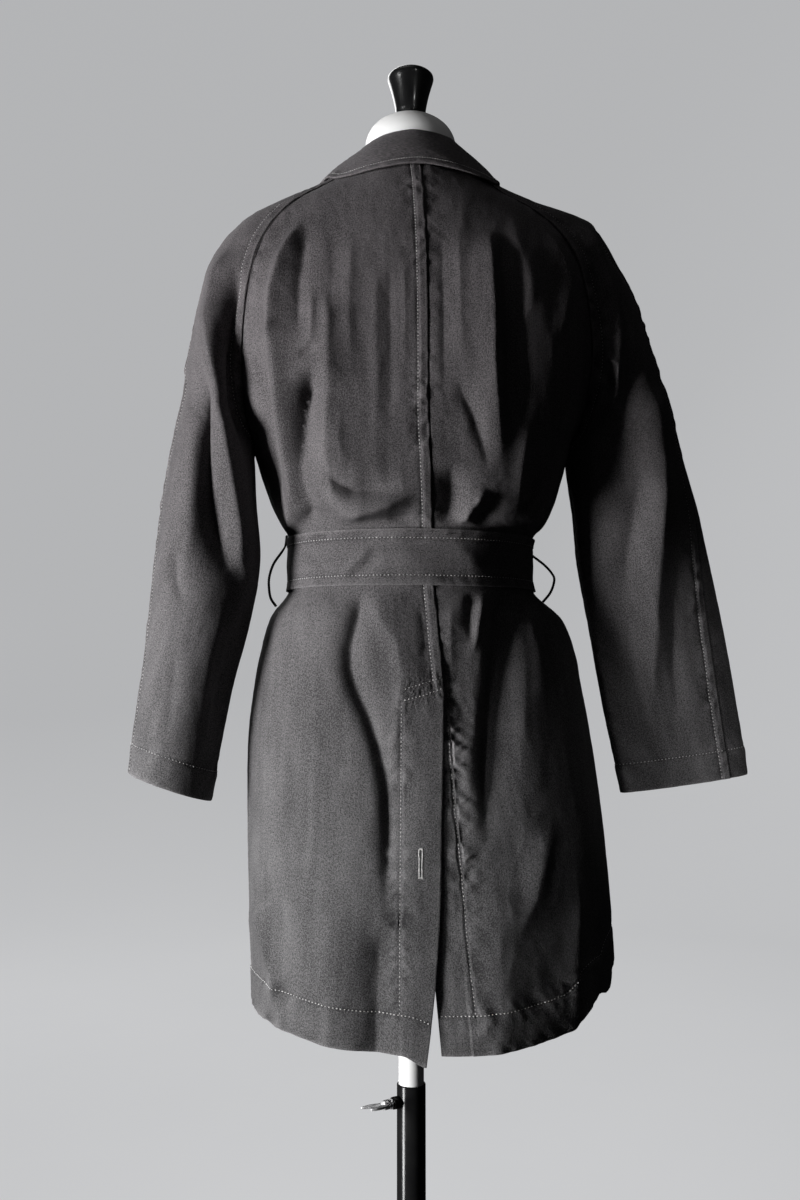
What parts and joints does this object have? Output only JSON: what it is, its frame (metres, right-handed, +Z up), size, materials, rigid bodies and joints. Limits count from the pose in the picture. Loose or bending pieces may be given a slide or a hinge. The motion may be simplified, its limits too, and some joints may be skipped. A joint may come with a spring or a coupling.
{
  "type": "trench coat on a dress form",
  "caption": "Belted raglan trench coat with a centre back vent, worn by a limbless dress form on a height-adjustable pole stand.",
  "frame": {"origin": "centre of the base plate's flat underside, on the stand's axis", "axes": "+Z up along the stand's pole; the coat's front faces -Y and its back +Y; +X is the wearer's left"},
  "size_m": [0.644, 0.36, 1.5907],
  "materials": {
    "washed_twill": "washed cotton twill",
    "horn": "dark polished horn",
    "form_cover": "white jersey stretched over a light shell",
    "black_lacquer": "gloss lacquer",
    "white_enamel": "satin enamel",
    "black_enamel": "satin enamel",
    "bright_steel": "bright plated"
  },
  "bodies": {
    "stand": {"stand_base": "black_enamel", "base_hub": "black_enamel", "stand_tube": "black_enamel", "screw_boss": "black_enamel"},
    "post": {"form_post": "white_enamel"},
    "form": {"back_left": "washed_twill", "back_right": "washed_twill", "front_left": "washed_twill", "front_right": "washed_twill", "sleeve_left_back": "washed_twill", "sleeve_left_front": "washed_twill", "sleeve_right_back": "washed_twill", "sleeve_right_front": "washed_twill", "collar": "washed_twill", "belt": "washed_twill", "belt_loop_left": "washed_twill", "belt_loop_right": "washed_twill", "front_button_1": "horn", "front_button_2": "horn", "front_button_3": "horn", "front_button_4": "horn", "front_button_5": "horn", "front_button_6": "horn", "belt_buckle": "horn", "form_body": "form_cover", "neck_cap": "black_lacquer"},
    "wing": {"wing_screw": "bright_steel"}
  },
  "joints": [
    {"name": "post_slide", "type": "slide", "parent": "stand", "child": "post", "axis": [0, 0, 1], "range_m": [-0.06, 0.15]},
    {"name": "form_swivel", "type": "hinge", "parent": "post", "child": "form", "pos_m": [0, 0, 0.8009], "axis": [0, 0, 1], "continuous": true},
    {"name": "wing_turn", "type": "hinge", "parent": "stand", "child": "wing", "pos_m": [0.0219, 0.0098, 0.4845], "axis": [0.9135, 0.4067, 0], "continuous": true}
  ]
}
